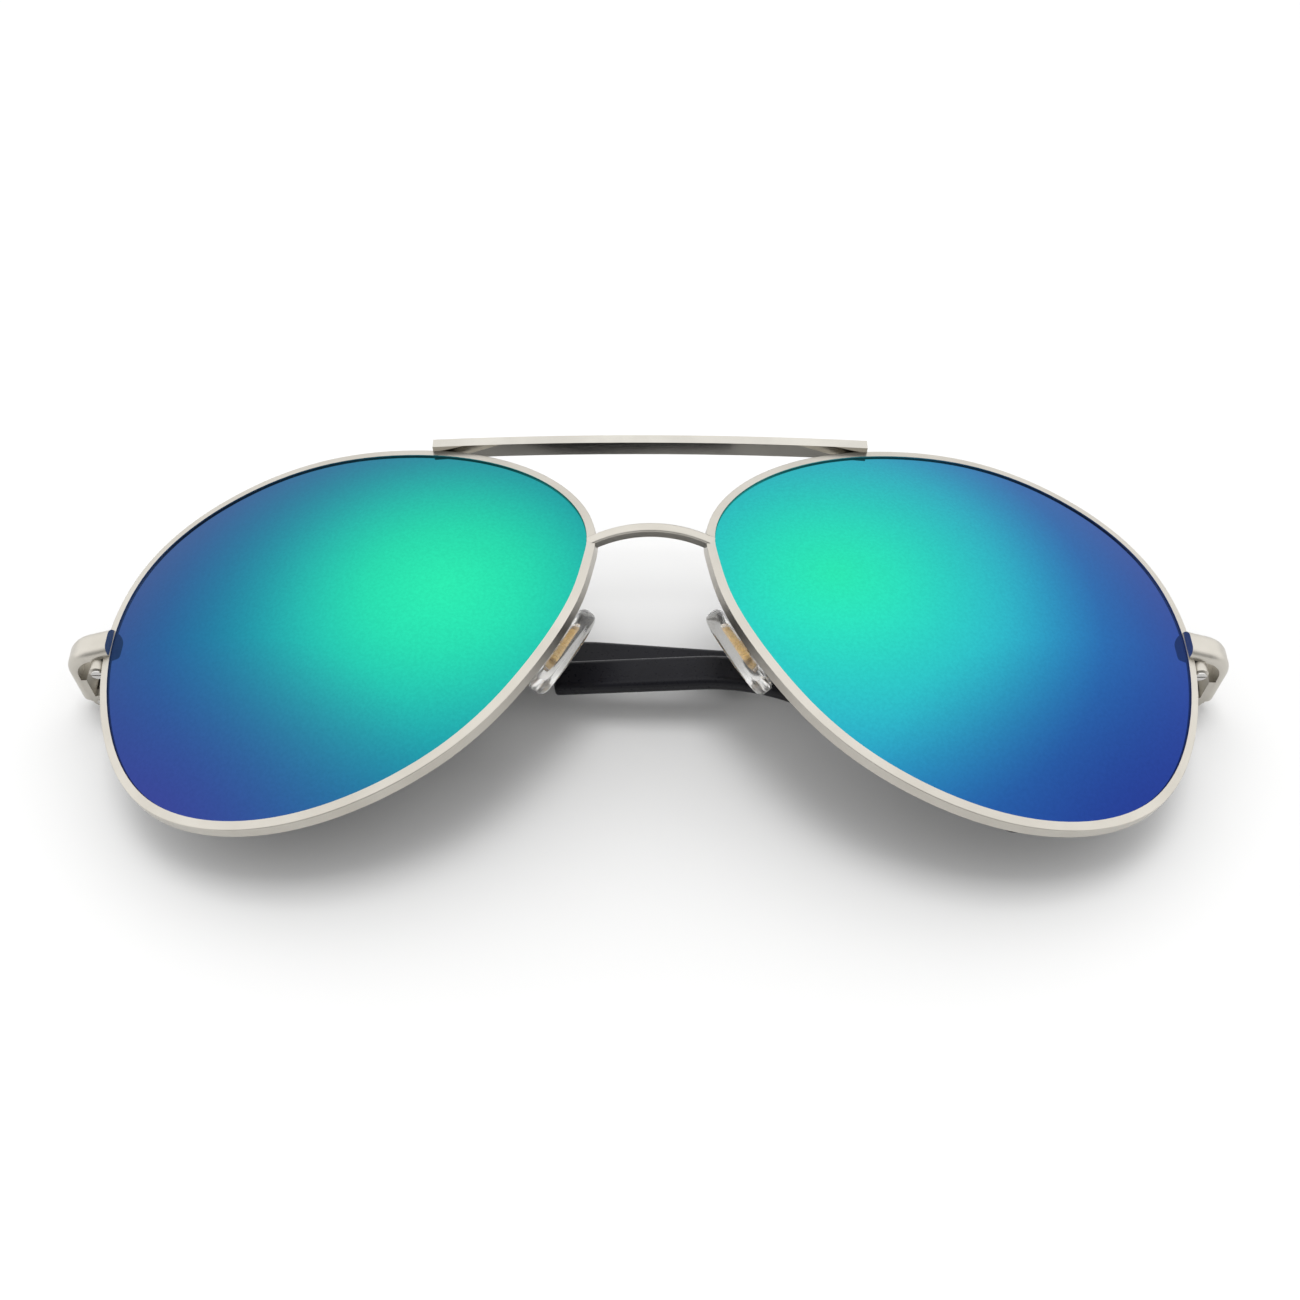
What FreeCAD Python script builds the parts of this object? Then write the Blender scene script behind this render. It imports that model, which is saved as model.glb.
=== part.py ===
"""Folding aviator sunglasses with mirrored lenses, drawn folded and lying on a table.

The front is drawn first as if worn: +X to the viewer's right, +Y back towards the face,
+Z up, with the origin midway between the lenses at their mid height. The right-hand side
(seen from the front) is drawn and mirrored to the left. At the end everything is laid down
together, lenses up, so that it rests on the two hinges and on one temple tip.
All lengths are in millimetres and all angles in degrees.
"""
import FreeCAD
import Part
import math
import os

Vector = FreeCAD.Vector
X_AXIS = Vector(1, 0, 0)
Y_AXIS = Vector(0, 1, 0)
Z_AXIS = Vector(0, 0, 1)
ORIGIN = Vector(0, 0, 0)
NO_TURN = FreeCAD.Rotation()
DOWN_TURN = Vector(0, -1, 0)

# How far a cutting shape runs past what it cuts, and the smallest length told from zero
past = 1.0
tiny = 0.001

# Lenses
lens_width = 62.0
lens_height = 54.4
lens_gap = 15.5
lens_thickness = 1.2
lens_curve_radius = 110.0
wrap_angle = 10.0
bevel_depth = 0.6
bevel_thickness = 0.5
bevel_setback = 0.3
lens_play = 0.03

# Rims
rim_width = 1.05
rim_depth = 1.55
rim_lip = 0.25
rim_edge_rounding = 0.12

# Brow bar and bridge
brow_length = 57.6
brow_height = 1.3
brow_depth = 2.3
brow_bow = 1.0
brow_seat = 0.1
brow_overhang = 0.8
bridge_level = 9.7
bridge_forward = 0.8
bridge_rise = 1.7
bridge_section_height = 1.3
bridge_section_depth = 1.5
bridge_rounding = 0.25

# End pieces, the strips that carry the hinges
frame_width = 150.0
end_piece_height = 3.9
end_piece_thickness = 1.4
end_piece_level = 1.0
end_piece_bend_radius = 5.0
end_piece_splay = 20.0
end_piece_rounding = 1.2
end_piece_seat = 0.2
hinge_setback = 20.0

# Rim locks
lock_radius = 1.1
lock_above = 1.8
lock_below = 3.3
lock_seat = 0.15
lock_screw_short = 0.3
lock_drop = 0.4
lock_screw_radius = 0.45
lock_screw_head_radius = 0.8
lock_screw_head_height = 0.35

# Hinges
knuckle_radius = 1.25
end_knuckle_height = 1.15
middle_knuckle_height = 1.5
knuckle_gap = 0.06
swing_play = 0.2
hinge_leaf_length = 5.0
hinge_leaf_thickness = 0.7
hinge_leaf_seat = 0.15
hinge_screw_radius = 0.55
hinge_screw_play = 0.03
hinge_screw_head_radius = 0.95
hinge_screw_head_height = 0.4
hinge_screw_tip = 0.25
screw_slot_width = 0.22
screw_slot_depth = 0.2

# Temples
temple_length = 126.0
temple_bend_start = 79.0
temple_bend_radius = 28.0
shaft_offset = 1.5
shaft_thickness = 1.2
shaft_root_height = 3.4
shaft_wire_height = 1.2
shaft_root_length = 8.0
shaft_taper_end = 50.0
shaft_short_of_tip = 7.0
butt_gap = 0.1
sleeve_start = 60.0
sleeve_height = 4.6
sleeve_thickness = 2.2
sleeve_rounding = 0.8
sleeve_front_rounding = 0.5
wire_overlap = 3.0
temple_tip_inset = 4.0
temple_leaf_length = 6.5
temple_leaf_height = 1.4

# How far each ear bend turns down, how much closer to the lenses the tip of the folded temple
# lies than its hinge, and how far its hinge axis leans over seen from the front, so that the
# two temples pass each other
temple_settings = {
    "left": {"bend": 40.4, "tip_closer": 12.08, "roll": 0.7},
    "right": {"bend": 44.6, "tip_closer": 1.32, "roll": 4.2},
}

# Nose pads
pad_length = 13.2
pad_width = 7.2
pad_thickness = 2.4
pad_rounding = 0.9
pad_spread = 11.0
pad_setback = 6.8
pad_level = -1.8
pad_splay = 28.0
pad_turn = 28.0
pad_pivot_behind = 2.2
pad_core_length = 7.2
pad_core_width = 3.2
pad_core_thickness = 0.5
pad_core_below_face = 0.1
pad_core_corner = 1.5
pad_tab_radius = 0.8
pad_tab_width = 1.0
pad_box_play = 0.1
pad_box_wall = 0.4
pad_box_length = 2.2
pad_box_depth = 2.1
pad_screw_radius = 0.4
pad_screw_head_radius = 0.7
pad_screw_head_height = 0.3
pad_arm_radius = 0.5
pad_arm_level = 3.0
pad_arm_bow = 1.2
pad_arm_seat = 0.4
rim_search_width = 0.6
outline_samples = 240

# Derived sizes
opening_half_width = lens_width / 2 - bevel_depth
opening_half_height = lens_height / 2 - bevel_depth
lens_centre_x = (lens_width + lens_gap) / 2
hinge_x = frame_width / 2 - shaft_offset - shaft_thickness
end_piece_inner_x = frame_width / 2 - end_piece_thickness
hinge_point = Vector(hinge_x, hinge_setback, end_piece_level)

# Teardrop outline of the lens opening, going round from the nose side over the top,
# as fractions of its half width (positive away from the nose) and half height
TEARDROP = [
    (-0.996, 0.305),
    (-0.930, 0.614),
    (-0.719, 0.822),
    (-0.230, 0.984),
    (0.228, 0.972),
    (0.669, 0.765),
    (0.863, 0.570),
    (0.981, 0.301),
    (0.975, -0.299),
    (0.720, -0.823),
    (0.235, -1.002),
    (-0.211, -0.899),
    (-0.563, -0.644),
    (-0.828, -0.254),
]


def lens_axes():
    """Outward normal of the right lens at its middle, and its direction away from the nose."""
    angle = math.radians(wrap_angle)
    normal = Vector(math.sin(angle), -math.cos(angle), 0)
    sideways = Vector(math.cos(angle), math.sin(angle), 0)
    return normal, sideways


def lens_point(along, up, lift):
    """Point lifted off the front curve of the right lens, at a distance along and up."""
    normal, sideways = lens_axes()
    reach = math.sqrt((lens_curve_radius + lift) ** 2 - along ** 2 - up ** 2)
    depth = reach - lens_curve_radius
    return Vector(lens_centre_x, 0, 0) + sideways * along + Z_AXIS * up + normal * depth


def closed_curve(points):
    curve = Part.BSplineCurve()
    curve.interpolate(Points=points, PeriodicFlag=True)
    return curve


def lens_outline(grow):
    """Closed outline of the lens opening, moved outwards by the given amount."""
    points = [Vector(a * opening_half_width, b * opening_half_height, 0) for a, b in TEARDROP]
    curve = closed_curve(points)
    samples = 2 * len(points)
    span = curve.LastParameter - curve.FirstParameter
    moved = []
    for step in range(samples):
        parameter = curve.FirstParameter + span * step / samples
        tangent = curve.tangent(parameter)[0]
        outward = Vector(-tangent.y, tangent.x, 0).normalize()
        moved.append(curve.value(parameter) + outward * grow)
    return Part.Wire(closed_curve(moved).toShape())


def lens_prism(grow):
    """Solid with the lens outline all the way through, standing along the lens axis."""
    normal, sideways = lens_axes()
    half_reach = opening_half_height
    prism = Part.Face(lens_outline(grow)).extrude(Z_AXIS * (2 * half_reach))
    turn = FreeCAD.Rotation(sideways, Z_AXIS, normal, "ZXY")
    start = Vector(lens_centre_x, 0, 0) - normal * half_reach
    prism.Placement = FreeCAD.Placement(start, turn)
    return prism


def lens_ball(lift):
    """Ball whose surface is the front curve of the right lens, lifted off it."""
    normal = lens_axes()[0]
    centre = Vector(lens_centre_x, 0, 0) - normal * lens_curve_radius
    return Part.makeSphere(lens_curve_radius + lift, centre)


def lens_slice(grow, front_lift, back_lift):
    """Curved slab with the lens outline between two curved surfaces."""
    return lens_prism(grow).common(lens_ball(front_lift)).cut(lens_ball(back_lift))


def front_edges(slab):
    """Edges of a lens slice that lie on its front surface."""
    front = max(slab.Faces, key=lambda face: face.Surface.Radius if is_ball(face) else 0)
    return front.Edges


def is_ball(face):
    return isinstance(face.Surface, Part.Sphere)


def lens():
    body = lens_slice(-lens_play, 0, -lens_thickness)
    bevel = lens_slice(bevel_depth, -bevel_setback, -bevel_setback - bevel_thickness)
    return body.fuse(bevel).removeSplitter()


def rim_blank():
    """Rim without its opening, used to trim the pieces soldered to it."""
    return lens_slice(rim_width, rim_lip, rim_lip - rim_depth)


def rim():
    opening = lens_slice(0, rim_lip + past, rim_lip - rim_depth - past)
    groove_front = -bevel_setback + lens_play
    groove_back = -bevel_setback - bevel_thickness - lens_play
    groove = lens_slice(bevel_depth + lens_play, groove_front, groove_back)
    blank = rim_blank()
    rounded = blank.makeFillet(rim_edge_rounding, front_edges(blank))
    return rounded.cut(opening).cut(groove)


def box_between(low, high):
    size = high - low
    return Part.makeBox(size.x, size.y, size.z, low)


def upright_cylinder(radius, bottom, top):
    return Part.makeCylinder(radius, top - bottom, Vector(0, 0, bottom))


def rim_reach(direction, across, offset):
    """How far the outer rim outline reaches in one direction, near an offset across it."""
    points = lens_outline(rim_width).discretize(outline_samples)
    near = [point for point in points if abs(point.dot(across) - offset) < rim_search_width]
    return max(point.dot(direction) for point in near)


def face_between(edges):
    return Part.Face(Part.Wire(edges))


def line(start, end):
    return Part.LineSegment(start, end).toShape()


def arc(start, middle, end):
    return Part.Arc(start, middle, end).toShape()


def moved(shape, rotation, place):
    """Copy of a shape turned about the origin and then carried to a place."""
    copy = shape.copy()
    copy.Placement = FreeCAD.Placement(place, rotation).multiply(copy.Placement)
    return copy


def mirrored(shape):
    return shape.mirror(ORIGIN, X_AXIS)


def brow_bar(rim_blocks):
    """Flat bar across the rim tops, bowed gently forward in the middle."""
    half = brow_length / 2
    along = half - lens_centre_x
    level = rim_reach(Y_AXIS, X_AXIS, along) - brow_seat
    front_y = lens_point(along, level, rim_lip).y - brow_overhang
    back_y = front_y + brow_depth
    bow = Vector(0, brow_bow, 0)
    front_left = Vector(-half, front_y, level)
    front_right = Vector(half, front_y, level)
    back_left = Vector(-half, back_y, level)
    back_right = Vector(half, back_y, level)
    front = arc(front_left, Vector(0, front_y, level) - bow, front_right)
    back = arc(back_right, Vector(0, back_y, level) - bow, back_left)
    ends = [line(front_right, back_right), line(back_left, front_left)]
    bar = face_between([front, ends[0], back, ends[1]]).extrude(Z_AXIS * brow_height)
    return bar.cut(rim_blocks)


def rounded_rectangle(width, height, corner):
    """Outline round the origin in the flat X and Y plane."""
    low = Vector(-width / 2, -height / 2, 0)
    slab = Part.makeBox(width, height, past, low)
    upright = [edge for edge in slab.Edges if edge.BoundBox.ZLength > past / 2]
    rounded = slab.makeFillet(corner, upright)
    return [face for face in rounded.Faces if face.BoundBox.ZMax < tiny][0].OuterWire


def bridge(rim_blocks):
    """Arched strip between the nose sides of the rims, soldered to both."""
    along = -opening_half_width
    foot = lens_point(along, bridge_level, rim_lip - rim_depth / 2)
    top = Vector(0, foot.y - bridge_forward, bridge_level + bridge_rise)
    other_foot = Vector(-foot.x, foot.y, foot.z)
    path = Part.Wire(arc(foot, top, other_foot))
    direction = path.Edges[0].tangentAt(path.Edges[0].FirstParameter)
    section = rounded_rectangle(bridge_section_depth, bridge_section_height, bridge_rounding)
    turn = FreeCAD.Rotation(Y_AXIS, Z_AXIS, direction, "ZXY")
    strip = path.makePipeShell([moved(section, turn, foot)], True, False)
    return strip.cut(rim_blocks)


def end_piece_profile():
    """Top view of the strip: out from the rim, round a bend and back to the hinge."""
    splay = math.radians(end_piece_splay)
    outwards = Vector(math.cos(splay), math.sin(splay), 0)
    forwards = Vector(math.sin(splay), -math.cos(splay), 0)
    outer = end_piece_bend_radius
    inner = outer - end_piece_thickness
    seat_along = rim_reach(X_AXIS, Y_AXIS, end_piece_level) - rim_width
    seat = lens_point(seat_along, end_piece_level, rim_lip - end_piece_seat)
    centre_x = frame_width / 2 - outer
    leg = (centre_x + inner * forwards.x - seat.x) / outwards.x
    centre = Vector(seat.x, seat.y, 0) + outwards * leg - forwards * inner
    rear_y = hinge_setback - butt_gap * 2
    half_turn = math.radians((90 + end_piece_splay) / 2)
    middle = Vector(math.sin(half_turn), -math.cos(half_turn), 0)
    outer_front = centre + forwards * outer
    inner_front = centre + forwards * inner
    outer_side = centre + X_AXIS * outer
    inner_side = centre + X_AXIS * inner
    outer_rear = Vector(outer_side.x, rear_y, 0)
    inner_rear = Vector(inner_side.x, rear_y, 0)
    return [
        line(outer_front - outwards * leg, outer_front),
        arc(outer_front, centre + middle * outer, outer_side),
        line(outer_side, outer_rear),
        line(outer_rear, inner_rear),
        line(inner_rear, inner_side),
        arc(inner_side, centre + middle * inner, inner_front),
        line(inner_front, inner_front - outwards * leg),
        line(inner_front - outwards * leg, outer_front - outwards * leg),
    ]


def end_piece(rim_block):
    """Strip with a rounded outer face, soldered over the outer side of the rim."""
    bottom = end_piece_level - end_piece_height / 2
    strip = face_between(end_piece_profile()).extrude(Z_AXIS * end_piece_height)
    strip.translate(Z_AXIS * bottom)
    outer_faces = strip.Faces[0:3]
    edges = [edge for face in outer_faces for edge in face.Edges if is_level(edge)]
    return strip.makeFillet(end_piece_rounding, edges).cut(rim_block)


def is_level(edge):
    return edge.BoundBox.ZLength < tiny


def rim_lock_centre():
    reach = rim_reach(X_AXIS, Y_AXIS, end_piece_level) + lock_radius - lock_seat
    return lens_point(reach, end_piece_level, rim_lip - rim_depth + lock_radius - lock_drop)


def rim_lock(neighbours):
    """Barrel beside the rim that closes it round the lens, drilled for its screw."""
    barrel = upright_cylinder(lock_radius, -lock_below, lock_above)
    hole = upright_cylinder(lock_screw_radius, -lock_below - past, lock_above + past)
    place = rim_lock_centre()
    return moved(barrel.cut(hole), NO_TURN, place).cut(neighbours)


def slotted_head(radius, bottom, top, slot_from):
    """Round screw head with a straight slot cut into one of its ends."""
    head = upright_cylinder(radius, bottom, top)
    slot_low = Vector(-radius - past, -screw_slot_width / 2, slot_from)
    slot_length = 2 * (radius + past)
    slot = Part.makeBox(slot_length, screw_slot_width, screw_slot_depth, slot_low)
    return head.cut(slot)


def rim_lock_screw():
    """Screw put in from below, its head showing under the lock."""
    head_bottom = -lock_below - lock_screw_head_height
    head = slotted_head(lock_screw_head_radius, head_bottom, -lock_below, head_bottom)
    shank = upright_cylinder(lock_screw_radius, -lock_below, lock_above - lock_screw_short)
    return moved(head.fuse(shank), NO_TURN, rim_lock_centre())


def pad_placement():
    """Place and turn of the right nose pad; its own X faces the nose and Z runs along it."""
    splay = math.radians(pad_splay)
    turn = math.radians(pad_turn)
    length_axis = Vector(-math.sin(splay), 0, math.cos(splay))
    flat_axis = Vector(-math.cos(splay), 0, -math.sin(splay))
    face_axis = flat_axis * math.cos(turn) + Y_AXIS * math.sin(turn)
    width_axis = length_axis.cross(face_axis)
    rotation = FreeCAD.Rotation(face_axis, width_axis, length_axis, "ZXY")
    return rotation, Vector(pad_spread, pad_setback, pad_level)


def on_pad(shape):
    """Carry a shape drawn round the middle of the pad to the right nose pad."""
    rotation, place = pad_placement()
    return moved(shape, rotation, place)


def cross_cylinder(radius, start, end):
    """Cylinder along the pad's own width, round the line the pad rocks on."""
    base = Vector(-pad_pivot_behind, start, 0)
    return Part.makeCylinder(radius, end - start, base, Y_AXIS)


def pad_core():
    """Small metal plate moulded into the pad, with the eye that the screw goes through."""
    front = -pad_core_below_face
    back = front - pad_core_thickness
    plate_low = Vector(back, -pad_core_width / 2, -pad_core_length / 2)
    plate_high = Vector(front, pad_core_width / 2, pad_core_length / 2)
    plate = box_between(plate_low, plate_high)
    corners = [edge for edge in plate.Edges if edge.BoundBox.XLength > pad_core_thickness / 2
               and edge.BoundBox.YLength < tiny and edge.BoundBox.ZLength < tiny]
    plate = plate.makeFillet(pad_core_corner, corners)
    half_tab = pad_tab_width / 2
    eye = cross_cylinder(pad_tab_radius, -half_tab, half_tab)
    stem_low = Vector(-pad_pivot_behind, -half_tab, -pad_tab_radius)
    stem = box_between(stem_low, Vector(back + pad_core_thickness / 2, half_tab, pad_tab_radius))
    hole = cross_cylinder(pad_screw_radius + hinge_screw_play, -pad_width, pad_width)
    return plate.fuse(eye.fuse(stem)).removeSplitter().cut(hole)


def nose_pad(core):
    """Soft oval pad with rounded edges, moulded round the core plate."""
    back = -pad_thickness / 2
    oval = Part.Ellipse(ORIGIN, pad_length / 2, pad_width / 2).toShape()
    turn = FreeCAD.Rotation(Z_AXIS, Y_AXIS, X_AXIS * -1, "ZXY")
    face = moved(Part.Face(Part.Wire(oval)), turn, Vector(back, 0, 0))
    body = face.extrude(X_AXIS * pad_thickness)
    rims_of_oval = [edge for edge in body.Edges if edge.BoundBox.XLength < tiny]
    return body.makeFillet(pad_rounding, rims_of_oval).cut(core)


def pad_box():
    """Cup with two cheeks that hold the eye of the pad between them."""
    inside = pad_tab_width / 2 + pad_box_play
    outside = inside + pad_box_wall
    floor_front = -pad_pivot_behind - pad_tab_radius - pad_box_play
    floor_back = floor_front - pad_box_wall
    half_length = pad_box_length / 2
    block_low = Vector(floor_back, -outside, -half_length)
    block = box_between(block_low, Vector(floor_back + pad_box_depth, outside, half_length))
    upright_edges = [edge for edge in block.Edges if edge.BoundBox.YLength > outside]
    block = block.makeFillet(pad_box_wall, upright_edges)
    slot_low = Vector(floor_front, -inside, -half_length - past)
    slot = box_between(slot_low, Vector(0, inside, half_length + past))
    hole = cross_cylinder(pad_screw_radius, -pad_width, pad_width)
    return block.cut(slot).cut(hole)


def pad_screw():
    """Tiny screw across the pad box; the pad rocks on it."""
    outside = pad_tab_width / 2 + pad_box_play + pad_box_wall
    shank = cross_cylinder(pad_screw_radius, -outside, outside)
    head = cross_cylinder(pad_screw_head_radius, outside, outside + pad_screw_head_height)
    return head.fuse(shank)


def pad_arm():
    """Curved wire from inside the back of the rim to the back of the pad box."""
    rotation, place = pad_placement()
    box_back = -pad_pivot_behind - pad_tab_radius - pad_box_play - pad_box_wall
    end = place + rotation.multVec(Vector(box_back, 0, 0))
    before_end = place + rotation.multVec(Vector(box_back - pad_arm_bow, 0, 0))
    reach = rim_reach(X_AXIS * -1, Y_AXIS, pad_arm_level) - rim_width / 2
    start = lens_point(-reach, pad_arm_level, rim_lip - rim_depth + pad_arm_seat)
    after_start = start + Vector(0, pad_arm_bow * 2, 0)
    curve = Part.BezierCurve()
    curve.setPoles([start, after_start, before_end, end])
    direction = curve.tangent(curve.FirstParameter)[0]
    section = Part.Wire(Part.Circle(start, direction, pad_arm_radius).toShape())
    return Part.Wire(curve.toShape()).makePipeShell([section], True, False)


def hinge_leaf():
    """Plate on the inside of the end piece with the upper and lower knuckles."""
    half_middle = middle_knuckle_height / 2 + knuckle_gap
    top = half_middle + end_knuckle_height
    upper = upright_cylinder(knuckle_radius, half_middle, top)
    lower = upright_cylinder(knuckle_radius, -top, -half_middle)
    plate_outer = end_piece_inner_x - hinge_x
    plate_low = Vector(plate_outer - hinge_leaf_thickness, -hinge_leaf_length, -top)
    plate = box_between(plate_low, Vector(plate_outer + hinge_leaf_seat, 0, top))
    swing_room = upright_cylinder(knuckle_radius + swing_play, -half_middle, half_middle)
    leaf = plate.cut(swing_room).fuse([upper, lower]).removeSplitter()
    return leaf.cut(upright_cylinder(hinge_screw_radius, -top - past, top + past))


def hinge_screw():
    """Slotted hinge screw with its head on top and its end showing below."""
    top = middle_knuckle_height / 2 + knuckle_gap + end_knuckle_height
    head_top = top + hinge_screw_head_height
    head = slotted_head(hinge_screw_head_radius, top, head_top, head_top - screw_slot_depth)
    shank = upright_cylinder(hinge_screw_radius, -top - hinge_screw_tip, top)
    return head.fuse(shank)


def temple_knuckle(shaft):
    """Middle knuckle and the plate that joins it to the inside of the temple."""
    half = middle_knuckle_height / 2
    barrel = upright_cylinder(knuckle_radius, -half, half)
    plate_half = temple_leaf_height / 2
    plate_front = shaft_offset - hinge_leaf_thickness
    plate_low = Vector(-temple_leaf_length, plate_front, -plate_half)
    plate = box_between(plate_low, Vector(0, shaft_offset, plate_half))
    hole = upright_cylinder(hinge_screw_radius + hinge_screw_play, -half - past, half + past)
    return barrel.fuse(plate).removeSplitter().cut(hole).cut(shaft)


def along_temple(section, bend, start, short_of_tip):
    """Carry an upright section along the right temple: level, round the ear bend, and on."""
    centre = Vector(-temple_bend_start, 0, -temple_bend_radius)
    level_start = moved(section, NO_TURN, Vector(-start, 0, 0))
    level = level_start.extrude(X_AXIS * (start - temple_bend_start))
    bend_section = moved(section, NO_TURN, Vector(-temple_bend_start, 0, 0))
    bent = bend_section.revolve(centre, DOWN_TURN, bend)
    end_section = bend_section.copy()
    end_section.rotate(centre, DOWN_TURN, bend)
    after = length_after_bend(bend) - short_of_tip
    return level.fuse([bent, end_section.extrude(end_direction(bend) * after)]).removeSplitter()


def length_after_bend(bend):
    return temple_length - temple_bend_start - temple_bend_radius * math.radians(bend)


def end_direction(bend):
    angle = math.radians(bend)
    return Vector(-math.cos(angle), 0, -math.sin(angle))


def tip_point(bend):
    """End of the middle line of the temple."""
    angle = math.radians(bend)
    upwards = Vector(-math.sin(angle), 0, math.cos(angle))
    bend_end = Vector(-temple_bend_start, 0, -temple_bend_radius) + upwards * temple_bend_radius
    return bend_end + end_direction(bend) * length_after_bend(bend)


def rounded_section(bottom, top, thickness, corner):
    """Upright face with rounded corners, centred on the thickness of the temple."""
    middle_y = shaft_offset + shaft_thickness / 2
    low = Vector(0, middle_y - thickness / 2, bottom)
    block = Part.makeBox(past, thickness, top - bottom, low)
    long_edges = [edge for edge in block.Edges if edge.BoundBox.XLength > past / 2]
    if corner > 0:
        block = block.makeFillet(corner, long_edges)
    return [face for face in block.Faces if face.BoundBox.XMax < tiny][0]


def inset(shape):
    """Turn a temple shape about its level part, so its tip comes in towards the head."""
    copy = shape.copy()
    copy.rotate(Vector(0, shaft_offset + shaft_thickness / 2, 0), X_AXIS, -temple_tip_inset)
    return copy


def temple_wire(bend):
    """Thin end of the metal arm, which runs on inside the sleeve."""
    half = shaft_wire_height / 2
    section = rounded_section(-half, half, shaft_thickness, 0)
    return inset(along_temple(section, bend, shaft_taper_end - wire_overlap, shaft_short_of_tip))


def temple_shaft(bend):
    """Flat metal arm that tapers to a wire."""
    root = shaft_root_height / 2
    wire = shaft_wire_height / 2
    top = [Vector(-butt_gap, 0, root), Vector(-shaft_root_length, 0, root)]
    top.append(Vector(-shaft_taper_end, 0, wire))
    bottom = [Vector(point.x, 0, -point.z) for point in reversed(top)]
    corners = top + bottom
    edges = [line(first, second) for first, second in zip(corners, corners[1:] + corners[:1])]
    flat = face_between(edges).extrude(Y_AXIS * shaft_thickness)
    flat.translate(Y_AXIS * shaft_offset)
    return flat.fuse(temple_wire(bend))


def temple_sleeve(bend, shaft):
    """Soft sleeve over the back half of the temple, blunt in front and round at the tip."""
    half = sleeve_height / 2
    section = rounded_section(-half, half, sleeve_thickness, sleeve_rounding)
    body = along_temple(section, bend, sleeve_start, half)
    mouth = [edge for edge in body.Edges if edge.BoundBox.XMin > -sleeve_start - tiny]
    body = body.makeFillet(sleeve_front_rounding, mouth)
    upper_half = section.common(Part.makeBox(2 * past, 2 * half, half, Vector(-past, 0, 0)))
    tip = tip_point(bend) - end_direction(bend) * half
    tip_section = upper_half.copy()
    tip_section.rotate(ORIGIN, DOWN_TURN, bend)
    tip_section.translate(tip)
    cap = tip_section.revolve(tip, DOWN_TURN, 180)
    return inset(body.fuse(cap).removeSplitter()).cut(shaft)


def hinge_spot(side):
    """Place of a hinge and how far its axis leans over, seen from the front."""
    place = Vector(hinge_point)
    if side == "left":
        place.x = -place.x
    roll = FreeCAD.Rotation(Y_AXIS, temple_settings[side]["roll"])
    return roll, place


def on_hinge(shape, side):
    """Carry a shape drawn round the right hinge axis to the hinge of one side."""
    roll, place = hinge_spot(side)
    handed = mirrored(shape) if side == "left" else shape
    return moved(handed, roll, place)


def on_folded_temple(shape, side):
    """Carry a shape drawn on the square folded right temple to one side, as it lies."""
    lean = math.degrees(math.asin(temple_settings[side]["tip_closer"] / temple_length))
    leaning = moved(shape, FreeCAD.Rotation(Z_AXIS, lean), ORIGIN)
    return on_hinge(leaning, side)


def worn_pieces():
    """Every named piece in the frame of the front, temples folded."""
    right_block = rim_blank()
    rim_blocks = right_block.fuse(mirrored(right_block))
    strip = end_piece(right_block)
    core = pad_core()
    right_front = {
        "rim": rim(),
        "lens": lens(),
        "end_piece": strip,
        "rim_lock": rim_lock(right_block.fuse(strip)),
        "rim_lock_screw": rim_lock_screw(),
        "pad_arm": pad_arm(),
        "pad_box": on_pad(pad_box()),
        "pad_screw": on_pad(pad_screw()),
        "pad_core": on_pad(core),
        "nose_pad": on_pad(nose_pad(core)),
    }
    pieces = {"brow_bar": brow_bar(rim_blocks), "bridge": bridge(rim_blocks)}
    for name, shape in right_front.items():
        pieces["right_" + name] = shape
        pieces["left_" + name] = mirrored(shape)
    for side in ("left", "right"):
        shaft = temple_shaft(temple_settings[side]["bend"])
        sleeve = temple_sleeve(temple_settings[side]["bend"], shaft)
        neighbour = pieces[side + "_end_piece"]
        pieces[side + "_hinge_leaf"] = on_hinge(hinge_leaf(), side).cut(neighbour)
        pieces[side + "_hinge_screw"] = on_hinge(hinge_screw(), side)
        pieces[side + "_temple_knuckle"] = on_folded_temple(temple_knuckle(shaft), side)
        pieces[side + "_temple_shaft"] = on_folded_temple(shaft, side)
        pieces[side + "_temple_sleeve"] = on_folded_temple(sleeve, side)
    return pieces


def lowest(shapes):
    return min(shape.BoundBox.ZMin for shape in shapes)


def laid(shape, tilt):
    """Turn a worn shape lens side up, the front tilted towards the viewer."""
    return moved(shape, FreeCAD.Rotation(X_AXIS, tilt - 90), ORIGIN)


def resting_tilt(pieces):
    """Tilt at which the hinge ends and the tip of the right temple touch the table together."""
    low, high = 0.0, 45.0
    while high - low > tiny / 100:
        tilt = (low + high) / 2
        hinges = [laid(pieces[side + "_temple_shaft"], tilt) for side in ("left", "right")]
        tips = [laid(pieces[side + "_temple_sleeve"], tilt) for side in ("left", "right")]
        if lowest(hinges) < lowest(tips):
            low = tilt
        else:
            high = tilt
    return (low + high) / 2


def laid_down(pieces):
    """All pieces lying on the table, the origin under the middle of the whole."""
    tilt = resting_tilt(pieces)
    turned = {name: laid(shape, tilt) for name, shape in pieces.items()}
    whole = Part.makeCompound(list(turned.values())).BoundBox
    shift = Vector(-whole.Center.x, -whole.Center.y, -whole.ZMin)
    return {name: moved(shape, NO_TURN, shift) for name, shape in turned.items()}


def main():
    os.makedirs("parts", exist_ok=True)
    for name, shape in laid_down(worn_pieces()).items():
        shape.exportStep("parts/" + name + ".step")


if __name__ == "__main__":
    main()
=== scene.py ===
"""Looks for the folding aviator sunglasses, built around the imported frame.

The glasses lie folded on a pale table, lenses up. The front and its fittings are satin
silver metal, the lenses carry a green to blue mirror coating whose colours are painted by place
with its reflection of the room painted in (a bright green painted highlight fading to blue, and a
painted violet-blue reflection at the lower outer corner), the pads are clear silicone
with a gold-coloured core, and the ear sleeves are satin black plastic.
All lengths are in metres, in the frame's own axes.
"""

import bpy
from mathutils import Matrix, Vector


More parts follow.
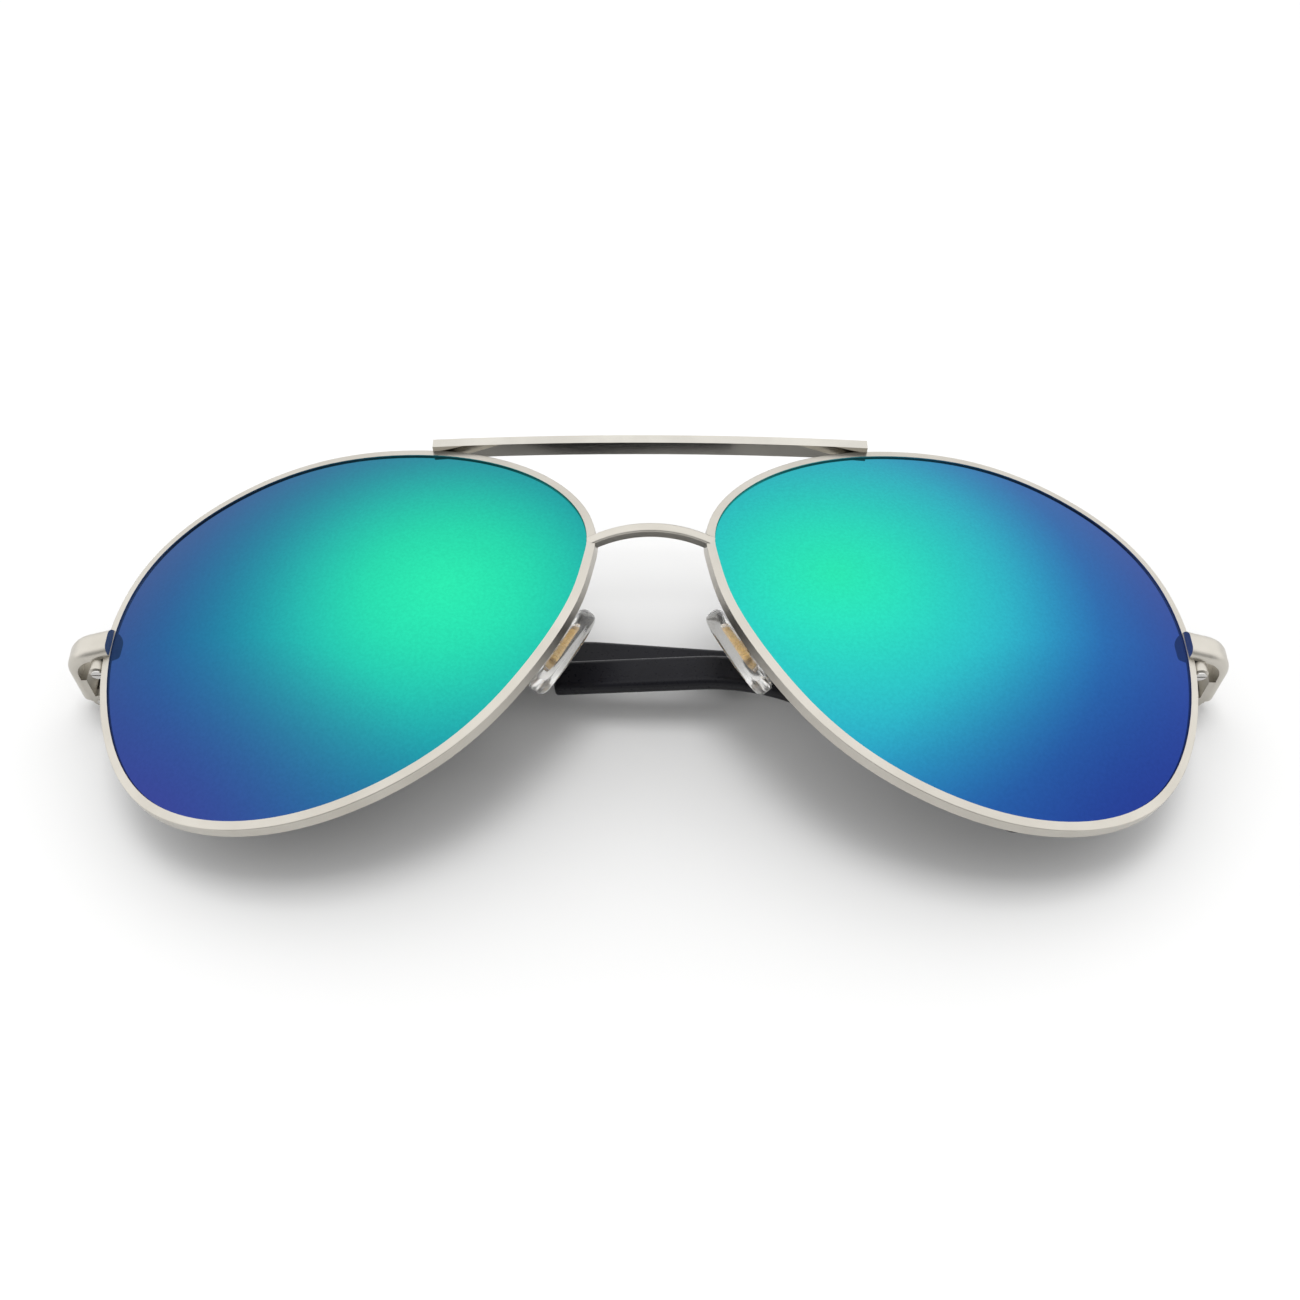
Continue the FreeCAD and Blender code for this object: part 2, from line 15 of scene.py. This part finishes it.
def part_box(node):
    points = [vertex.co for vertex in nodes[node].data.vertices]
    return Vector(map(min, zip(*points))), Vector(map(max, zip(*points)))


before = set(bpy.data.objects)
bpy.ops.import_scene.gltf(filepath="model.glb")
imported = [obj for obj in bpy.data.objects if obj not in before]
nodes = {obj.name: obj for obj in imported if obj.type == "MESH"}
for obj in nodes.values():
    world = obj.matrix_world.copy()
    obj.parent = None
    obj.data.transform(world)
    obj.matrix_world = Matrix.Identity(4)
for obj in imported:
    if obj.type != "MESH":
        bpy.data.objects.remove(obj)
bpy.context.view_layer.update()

MM = 0.001

# Camera: a little in front of the glasses and above them, as one looks down on a table.
# Lens and sensor are in millimetres.
CAMERA_PLACE = Vector((-1.61, -129.9, 152.4)) * MM
CAMERA_LOOK = Vector((0.00812, 0.68342, -0.72998))
CAMERA_UP = Vector((-0.00169, 0.73001, 0.68344))
CAMERA_LENS = 41.54
CAMERA_SENSOR = 36.0
CAMERA_NEAREST = 0.01

# Table, with the share of its colour that its darker clouds keep
TABLE_SIZE = 3.0
TABLE_MIDDLE = Vector((0.0, 0.0, 0.0))
TABLE_COLOUR = (0.70, 0.70, 0.698)
TABLE_SHADE = 0.985

# Brightness of the room seen from the table: behind the camera, overhead and at the back
ROOM_FRONT = 0.30
ROOM_TOP = 1.5
ROOM_BACK = 1.2
# Where the brightness changes, from -1 behind the camera to 1 at the back
FRONT_FADE = (-0.75, -0.15)
BACK_FADE = (0.4, 1.0)

# Soft square light above the table
OVERHEAD_PLACE = Vector((0.0, -0.04, 0.9))
OVERHEAD_SIZE = 0.36
OVERHEAD_POWER = 3.0

# Fineness of the surface patterns, in cells per metre
METAL_CLOUDS = 140.0
METAL_GRAIN = 5200.0
SILICONE_HAZE = 420.0
SILICONE_DIMPLES = 900.0
SLEEVE_CLOUDS = 90.0
SLEEVE_GRAIN = 1800.0
COATING_SPECKS = 2600.0
TABLE_CLOUDS = 6.0

# Depth of the finest surface relief
METAL_RELIEF = 0.004 * MM
SILICONE_RELIEF = 0.03 * MM
SLEEVE_RELIEF = 0.02 * MM

# Colours of each lens's mirror coating with its reflection of the room painted in, from its painted
# bright green highlight outwards to darker blue, as chosen for a room top with the brightness
# COATING_ROOM
COATING_ROOM = 1.12
PAINTED_COATING_REFLECTIONS = {
    "left": [
        (0.00, (0.028, 0.850, 0.440)),
        (0.21, (0.022, 0.715, 0.425)),
        (0.36, (0.020, 0.520, 0.430)),
        (0.50, (0.016, 0.320, 0.390)),
        (0.64, (0.014, 0.190, 0.350)),
        (0.79, (0.016, 0.112, 0.320)),
        (1.00, (0.022, 0.055, 0.250)),
    ],
    "right": [
        (0.00, (0.026, 0.810, 0.440)),
        (0.17, (0.026, 0.740, 0.510)),
        (0.31, (0.026, 0.600, 0.530)),
        (0.46, (0.028, 0.470, 0.570)),
        (0.60, (0.024, 0.270, 0.510)),
        (0.74, (0.020, 0.140, 0.430)),
        (1.00, (0.016, 0.045, 0.300)),
    ],
}
# Painted highlight of each lens: the bright spot where the room's light is painted into the coating
# as a reflection, from its middle, as shares of its width and height,
# and how far the painted reflection's colours reach from it
PAINTED_HIGHLIGHT_SPOTS = {"left": (0.21, 0.03), "right": (-0.25, 0.06)}
PAINTED_HIGHLIGHT_REACH = (46.0 * MM, 44.0 * MM, 1.0)
# Painted violet-blue reflection at the lower outer corner: its place, outwards and up, its strength
# and its reach
PAINTED_CORNER_REFLECTIONS = {"left": (0.050, 0.050, 0.300), "right": (0.022, 0.040, 0.268)}
CORNER_PLACE = (0.42, -0.50)
CORNER_STRENGTH = 0.9
CORNER_REACH = (40.0 * MM, 26.0 * MM, 1.0)
SPECK_COLOUR = (0.86, 0.86, 0.88)
WHITE = (1.0, 1.0, 1.0)
LENS_BACK = (0.030, 0.030, 0.032)


def node_material(name):
    """A new node material and its surface shader."""
    material = bpy.data.materials.new(name)
    material.use_nodes = True
    return material, material.node_tree.nodes["Principled BSDF"]


def add_node(owner, kind, **settings):
    """A node in the tree of a material or the world, with its properties set."""
    node = owner.node_tree.nodes.new(kind)
    for key, value in settings.items():
        setattr(node, key, value)
    return node


def join(owner, source, target):
    """Links one socket to another."""
    owner.node_tree.links.new(source, target)


def object_place(material, scale=(1, 1, 1)):
    """The place on the object in metres, stretched by scale."""
    where = add_node(material, "ShaderNodeTexCoord")
    stretch = add_node(material, "ShaderNodeMapping")
    stretch.inputs["Scale"].default_value = scale
    join(material, where.outputs["Object"], stretch.inputs["Vector"])
    return stretch.outputs["Vector"]


def distance_from(material, centre, reaches):
    """Distance on the object from a centre, counted in the given reaches."""
    where = add_node(material, "ShaderNodeTexCoord")
    mapped = add_node(material, "ShaderNodeMapping", vector_type="TEXTURE")
    mapped.inputs["Location"].default_value = centre
    mapped.inputs["Scale"].default_value = reaches
    join(material, where.outputs["Object"], mapped.inputs["Vector"])
    length = add_node(material, "ShaderNodeVectorMath", operation="LENGTH")
    join(material, mapped.outputs["Vector"], length.inputs[0])
    return length.outputs["Value"]


def noise(material, place, scale, detail=3.0, roughness=0.55):
    """A noise pattern from 0 to 1."""
    texture = add_node(material, "ShaderNodeTexNoise")
    texture.inputs["Scale"].default_value = scale
    texture.inputs["Detail"].default_value = detail
    texture.inputs["Roughness"].default_value = roughness
    join(material, place, texture.inputs["Vector"])
    return texture.outputs["Fac"]


def spread(owner, value, low, high, span=(0.0, 1.0), **settings):
    """A value carried over from its own span to the one from low to high."""
    fit = add_node(owner, "ShaderNodeMapRange", **settings)
    fit.inputs["From Min"].default_value = span[0]
    fit.inputs["From Max"].default_value = span[1]
    fit.inputs["To Min"].default_value = low
    fit.inputs["To Max"].default_value = high
    join(owner, value, fit.inputs["Value"])
    return fit.outputs["Result"]


def colour_ramp(material, value, stops):
    """A colour that follows a value through the given stops."""
    ramp = add_node(material, "ShaderNodeValToRGB")
    ramp.color_ramp.interpolation = "B_SPLINE"
    marks = ramp.color_ramp.elements
    while len(marks) < len(stops):
        marks.new(1.0)
    for mark, (place, colour) in zip(marks, stops):
        mark.position = place
        mark.color = (*colour, 1.0)
    join(material, value, ramp.inputs["Fac"])
    return ramp.outputs["Color"]


def tinted(material, colour, tint, share):
    """A colour that turns into a fixed tint where share goes from 0 to 1."""
    mix = add_node(material, "ShaderNodeMix", data_type="RGBA")
    join(material, share, mix.inputs["Factor"])
    join(material, colour, mix.inputs["A"])
    mix.inputs["B"].default_value = (*tint, 1.0)
    return mix.outputs["Result"]


def multiplied(material, colour, other):
    """The product of two colours."""
    mix = add_node(material, "ShaderNodeMix", data_type="RGBA", blend_type="MULTIPLY")
    mix.inputs["Factor"].default_value = 1.0
    join(material, colour, mix.inputs["A"])
    join(material, other, mix.inputs["B"])
    return mix.outputs["Result"]


def fine_bumps(material, shader, height, distance, strength):
    """Small bumps that follow a height pattern."""
    bump = add_node(material, "ShaderNodeBump")
    bump.inputs["Strength"].default_value = strength
    bump.inputs["Distance"].default_value = distance
    join(material, height, bump.inputs["Height"])
    join(material, bump.outputs["Normal"], shader.inputs["Normal"])


def metal(name, dark, light, roughness, grain=(1, 1, 1), relief=0.15):
    """Metal with clouds in its colour and a fine grain in its gloss and its surface."""
    material, shader = node_material(name)
    shader.inputs["Metallic"].default_value = 1.0
    place = object_place(material, grain)
    cloud = noise(material, object_place(material), METAL_CLOUDS)
    lines = noise(material, place, METAL_GRAIN, detail=2.0)
    colour = colour_ramp(material, cloud, [(0.3, dark), (0.7, light)])
    join(material, colour, shader.inputs["Base Color"])
    gloss = spread(material, lines, roughness[0], roughness[1])
    join(material, gloss, shader.inputs["Roughness"])
    fine_bumps(material, shader, lines, METAL_RELIEF, relief)
    return material


def frame_metal():
    """Satin, slightly warm silver of the rims, bridge, end pieces, shafts and hinges."""
    return metal(
        "satin_silver",
        dark=(0.47, 0.445, 0.395),
        light=(0.55, 0.525, 0.475),
        roughness=(0.26, 0.40),
        grain=(1.0, 0.35, 1.0),
    )


def bar_metal():
    """Polished silver of the brow bar, brushed along its length."""
    return metal(
        "polished_silver",
        dark=(0.48, 0.46, 0.42),
        light=(0.58, 0.56, 0.51),
        roughness=(0.08, 0.16),
        grain=(0.05, 1.0, 1.0),
        relief=0.08,
    )


def screw_metal():
    """Bright turned steel of the screws."""
    return metal(
        "turned_steel",
        dark=(0.50, 0.49, 0.48),
        light=(0.66, 0.65, 0.63),
        roughness=(0.14, 0.26),
    )


def gold_core():
    """Gold-coloured metal inside the pads."""
    return metal(
        "pad_gold",
        dark=(0.70, 0.43, 0.13),
        light=(0.86, 0.60, 0.24),
        roughness=(0.22, 0.34),
    )


def clear_silicone():
    """Soft clear silicone with a faint haze."""
    material, shader = node_material("clear_silicone")
    place = object_place(material)
    haze = noise(material, place, SILICONE_HAZE)
    tint = colour_ramp(material, haze, [(0.35, (0.90, 0.89, 0.86)), (0.65, (0.98, 0.98, 0.97))])
    join(material, tint, shader.inputs["Base Color"])
    join(material, spread(material, haze, 0.06, 0.16), shader.inputs["Roughness"])
    shader.inputs["IOR"].default_value = 1.41
    shader.inputs["Transmission Weight"].default_value = 0.92
    dimples = noise(material, place, SILICONE_DIMPLES)
    fine_bumps(material, shader, dimples, SILICONE_RELIEF, strength=0.2)
    return material


def black_sleeve():
    """Satin black moulded plastic."""
    material, shader = node_material("satin_black")
    place = object_place(material)
    grain = noise(material, place, SLEEVE_GRAIN, detail=4.0)
    soft = noise(material, place, SLEEVE_CLOUDS)
    colour = colour_ramp(material, soft, [(0.3, (0.006, 0.006, 0.008)), (0.7, (0.012, 0.012, 0.016))])
    join(material, colour, shader.inputs["Base Color"])
    join(material, spread(material, grain, 0.22, 0.36), shader.inputs["Roughness"])
    shader.inputs["Specular IOR Level"].default_value = 0.16
    fine_bumps(material, shader, grain, SLEEVE_RELIEF, strength=0.15)
    return material


def dimmed(colour):
    """A painted reflection colour of the coating, brought down by as much as the room is brighter
    than it was chosen for.
    """
    return tuple(part * COATING_ROOM / ROOM_TOP for part in colour)


def painted_coating_reflection(material, side):
    """Painted reflection on the coating: a bright green painted highlight at the lens's bright spot,
    blue away from it, and the painted violet-blue reflection of its corner.
    """
    low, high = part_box(side + "_lens")
    middle = (low + high) / 2
    size = high - low
    outward = -1 if side == "left" else 1
    along, across = PAINTED_HIGHLIGHT_SPOTS[side]
    spot = middle + Vector((along * size.x, across * size.y, 0))
    out, up = CORNER_PLACE
    corner = middle + Vector((outward * out * size.x, up * size.y, 0))
    # Distance from the painted highlight, where the painted reflection is brightest
    from_spot = distance_from(material, spot, PAINTED_HIGHLIGHT_REACH)
    stops = [(place, dimmed(colour)) for place, colour in PAINTED_COATING_REFLECTIONS[side]]
    main = colour_ramp(material, from_spot, stops)
    # Painted violet-blue reflection towards the lower outer corner
    from_corner = distance_from(material, corner, CORNER_REACH)
    near_corner = spread(material, from_corner, CORNER_STRENGTH, 0.0)
    return tinted(material, main, dimmed(PAINTED_CORNER_REFLECTIONS[side]), near_corner)


def back_of_lens(material):
    """1 where the surface faces the table and the temples, 0 elsewhere."""
    facing = add_node(material, "ShaderNodeTexCoord")
    parts = add_node(material, "ShaderNodeSeparateXYZ")
    join(material, facing.outputs["Normal"], parts.inputs["Vector"])
    is_back = add_node(material, "ShaderNodeMath", operation="LESS_THAN")
    is_back.inputs[1].default_value = 0.0
    join(material, parts.outputs["Z"], is_back.inputs[0])
    return is_back.outputs["Value"]


def mirror_lens(side):
    """A mirror coating on the front of a lens, with its reflection painted in by place, and dark
    plastic on its back.
    """
    material, shader = node_material(side + "_coating_with_painted_reflection")
    # Coating colours with the room's reflection painted in: a painted green highlight fading to blue,
    # and a painted violet-blue corner
    coating = painted_coating_reflection(material, side)
    speck = noise(material, object_place(material), COATING_SPECKS)
    grain = colour_ramp(material, speck, [(0.3, SPECK_COLOUR), (0.7, WHITE)])
    film = multiplied(material, coating, grain)
    is_back = back_of_lens(material)
    join(material, tinted(material, film, LENS_BACK, is_back), shader.inputs["Base Color"])
    join(material, spread(material, is_back, 1.0, 0.0), shader.inputs["Metallic"])
    join(material, spread(material, speck, 0.02, 0.05), shader.inputs["Roughness"])
    return material


def coat(node, material):
    """Gives a node its one material."""
    node.data.materials.clear()
    node.data.materials.append(material)


def dress():
    """Gives every CAD node its material."""
    silver = frame_metal()
    finishes = {
        "brow_bar": bar_metal(),
        "rim_lock_screw": screw_metal(),
        "hinge_screw": screw_metal(),
        "pad_screw": screw_metal(),
        "pad_core": gold_core(),
        "nose_pad": clear_silicone(),
        "temple_sleeve": black_sleeve(),
    }
    for name, node in nodes.items():
        kind = name.removeprefix("left_").removeprefix("right_")
        if kind != "lens":
            coat(node, finishes.get(kind, silver))
    for side in ("left", "right"):
        coat(nodes[side + "_lens"], mirror_lens(side))


def clear_from_below(material, shader):
    """Lets the surface be seen through from below, where opened temples reach."""
    side = add_node(material, "ShaderNodeNewGeometry")
    clear = add_node(material, "ShaderNodeBsdfTransparent")
    one_sided = add_node(material, "ShaderNodeMixShader")
    join(material, side.outputs["Backfacing"], one_sided.inputs["Fac"])
    join(material, shader.outputs["BSDF"], one_sided.inputs[1])
    join(material, clear.outputs["BSDF"], one_sided.inputs[2])
    output = material.node_tree.nodes["Material Output"]
    join(material, one_sided.outputs["Shader"], output.inputs["Surface"])


def table():
    """The pale table top."""
    bpy.ops.mesh.primitive_plane_add(size=TABLE_SIZE)
    top = bpy.context.object
    top.name = "table_top"
    material, shader = node_material("pale_table")
    cloud = noise(material, object_place(material), TABLE_CLOUDS)
    shade = tuple(TABLE_SHADE * part for part in TABLE_COLOUR)
    colour = colour_ramp(material, cloud, [(0.2, shade), (0.8, TABLE_COLOUR)])
    join(material, colour, shader.inputs["Base Color"])
    shader.inputs["Roughness"].default_value = 0.9
    shader.inputs["Specular IOR Level"].default_value = 0.1
    clear_from_below(material, shader)
    top.data.materials.append(material)


def room():
    """An even white room, darker behind the camera and a little darker at the far back."""
    world = bpy.data.worlds.new("studio")
    bpy.context.scene.world = world
    world.use_nodes = True
    background = world.node_tree.nodes["Background"]
    background.inputs["Color"].default_value = (*WHITE, 1.0)
    direction = add_node(world, "ShaderNodeTexCoord")
    parts = add_node(world, "ShaderNodeSeparateXYZ")
    join(world, direction.outputs["Generated"], parts.inputs["Vector"])
    away = parts.outputs["Y"]
    front = spread(
        world, away, ROOM_FRONT, ROOM_TOP, span=FRONT_FADE, interpolation_type="SMOOTHSTEP"
    )
    back = spread(world, away, 1.0, ROOM_BACK / ROOM_TOP, span=BACK_FADE)
    product = add_node(world, "ShaderNodeMath", operation="MULTIPLY")
    join(world, front, product.inputs[0])
    join(world, back, product.inputs[1])
    join(world, product.outputs["Value"], background.inputs["Strength"])


def overhead_light():
    """A square soft light above the table, left out of glossy reflections."""
    light = bpy.data.lights.new("overhead", "AREA")
    light.shape = "SQUARE"
    light.size = OVERHEAD_SIZE
    light.energy = OVERHEAD_POWER
    lamp = bpy.data.objects.new("overhead", light)
    bpy.context.scene.collection.objects.link(lamp)
    lamp.location = OVERHEAD_PLACE
    aim = TABLE_MIDDLE - OVERHEAD_PLACE
    lamp.rotation_euler = aim.to_track_quat("-Z", "Y").to_euler()
    lamp.visible_glossy = False


def camera():
    """The camera, looking down at the glasses."""
    data = bpy.data.cameras.new("camera")
    data.lens = CAMERA_LENS
    data.sensor_width = CAMERA_SENSOR
    data.clip_start = CAMERA_NEAREST
    eye = bpy.data.objects.new("camera", data)
    bpy.context.scene.collection.objects.link(eye)
    right = CAMERA_LOOK.cross(CAMERA_UP).normalized()
    up = right.cross(CAMERA_LOOK).normalized()
    axes = Matrix((right, up, -CAMERA_LOOK.normalized())).transposed()
    eye.rotation_mode = "QUATERNION"
    eye.rotation_quaternion = axes.to_quaternion()
    eye.location = CAMERA_PLACE
    bpy.context.scene.camera = eye


dress()
table()
room()
overhead_light()
camera()
bpy.context.scene.view_settings.view_transform = "Standard"
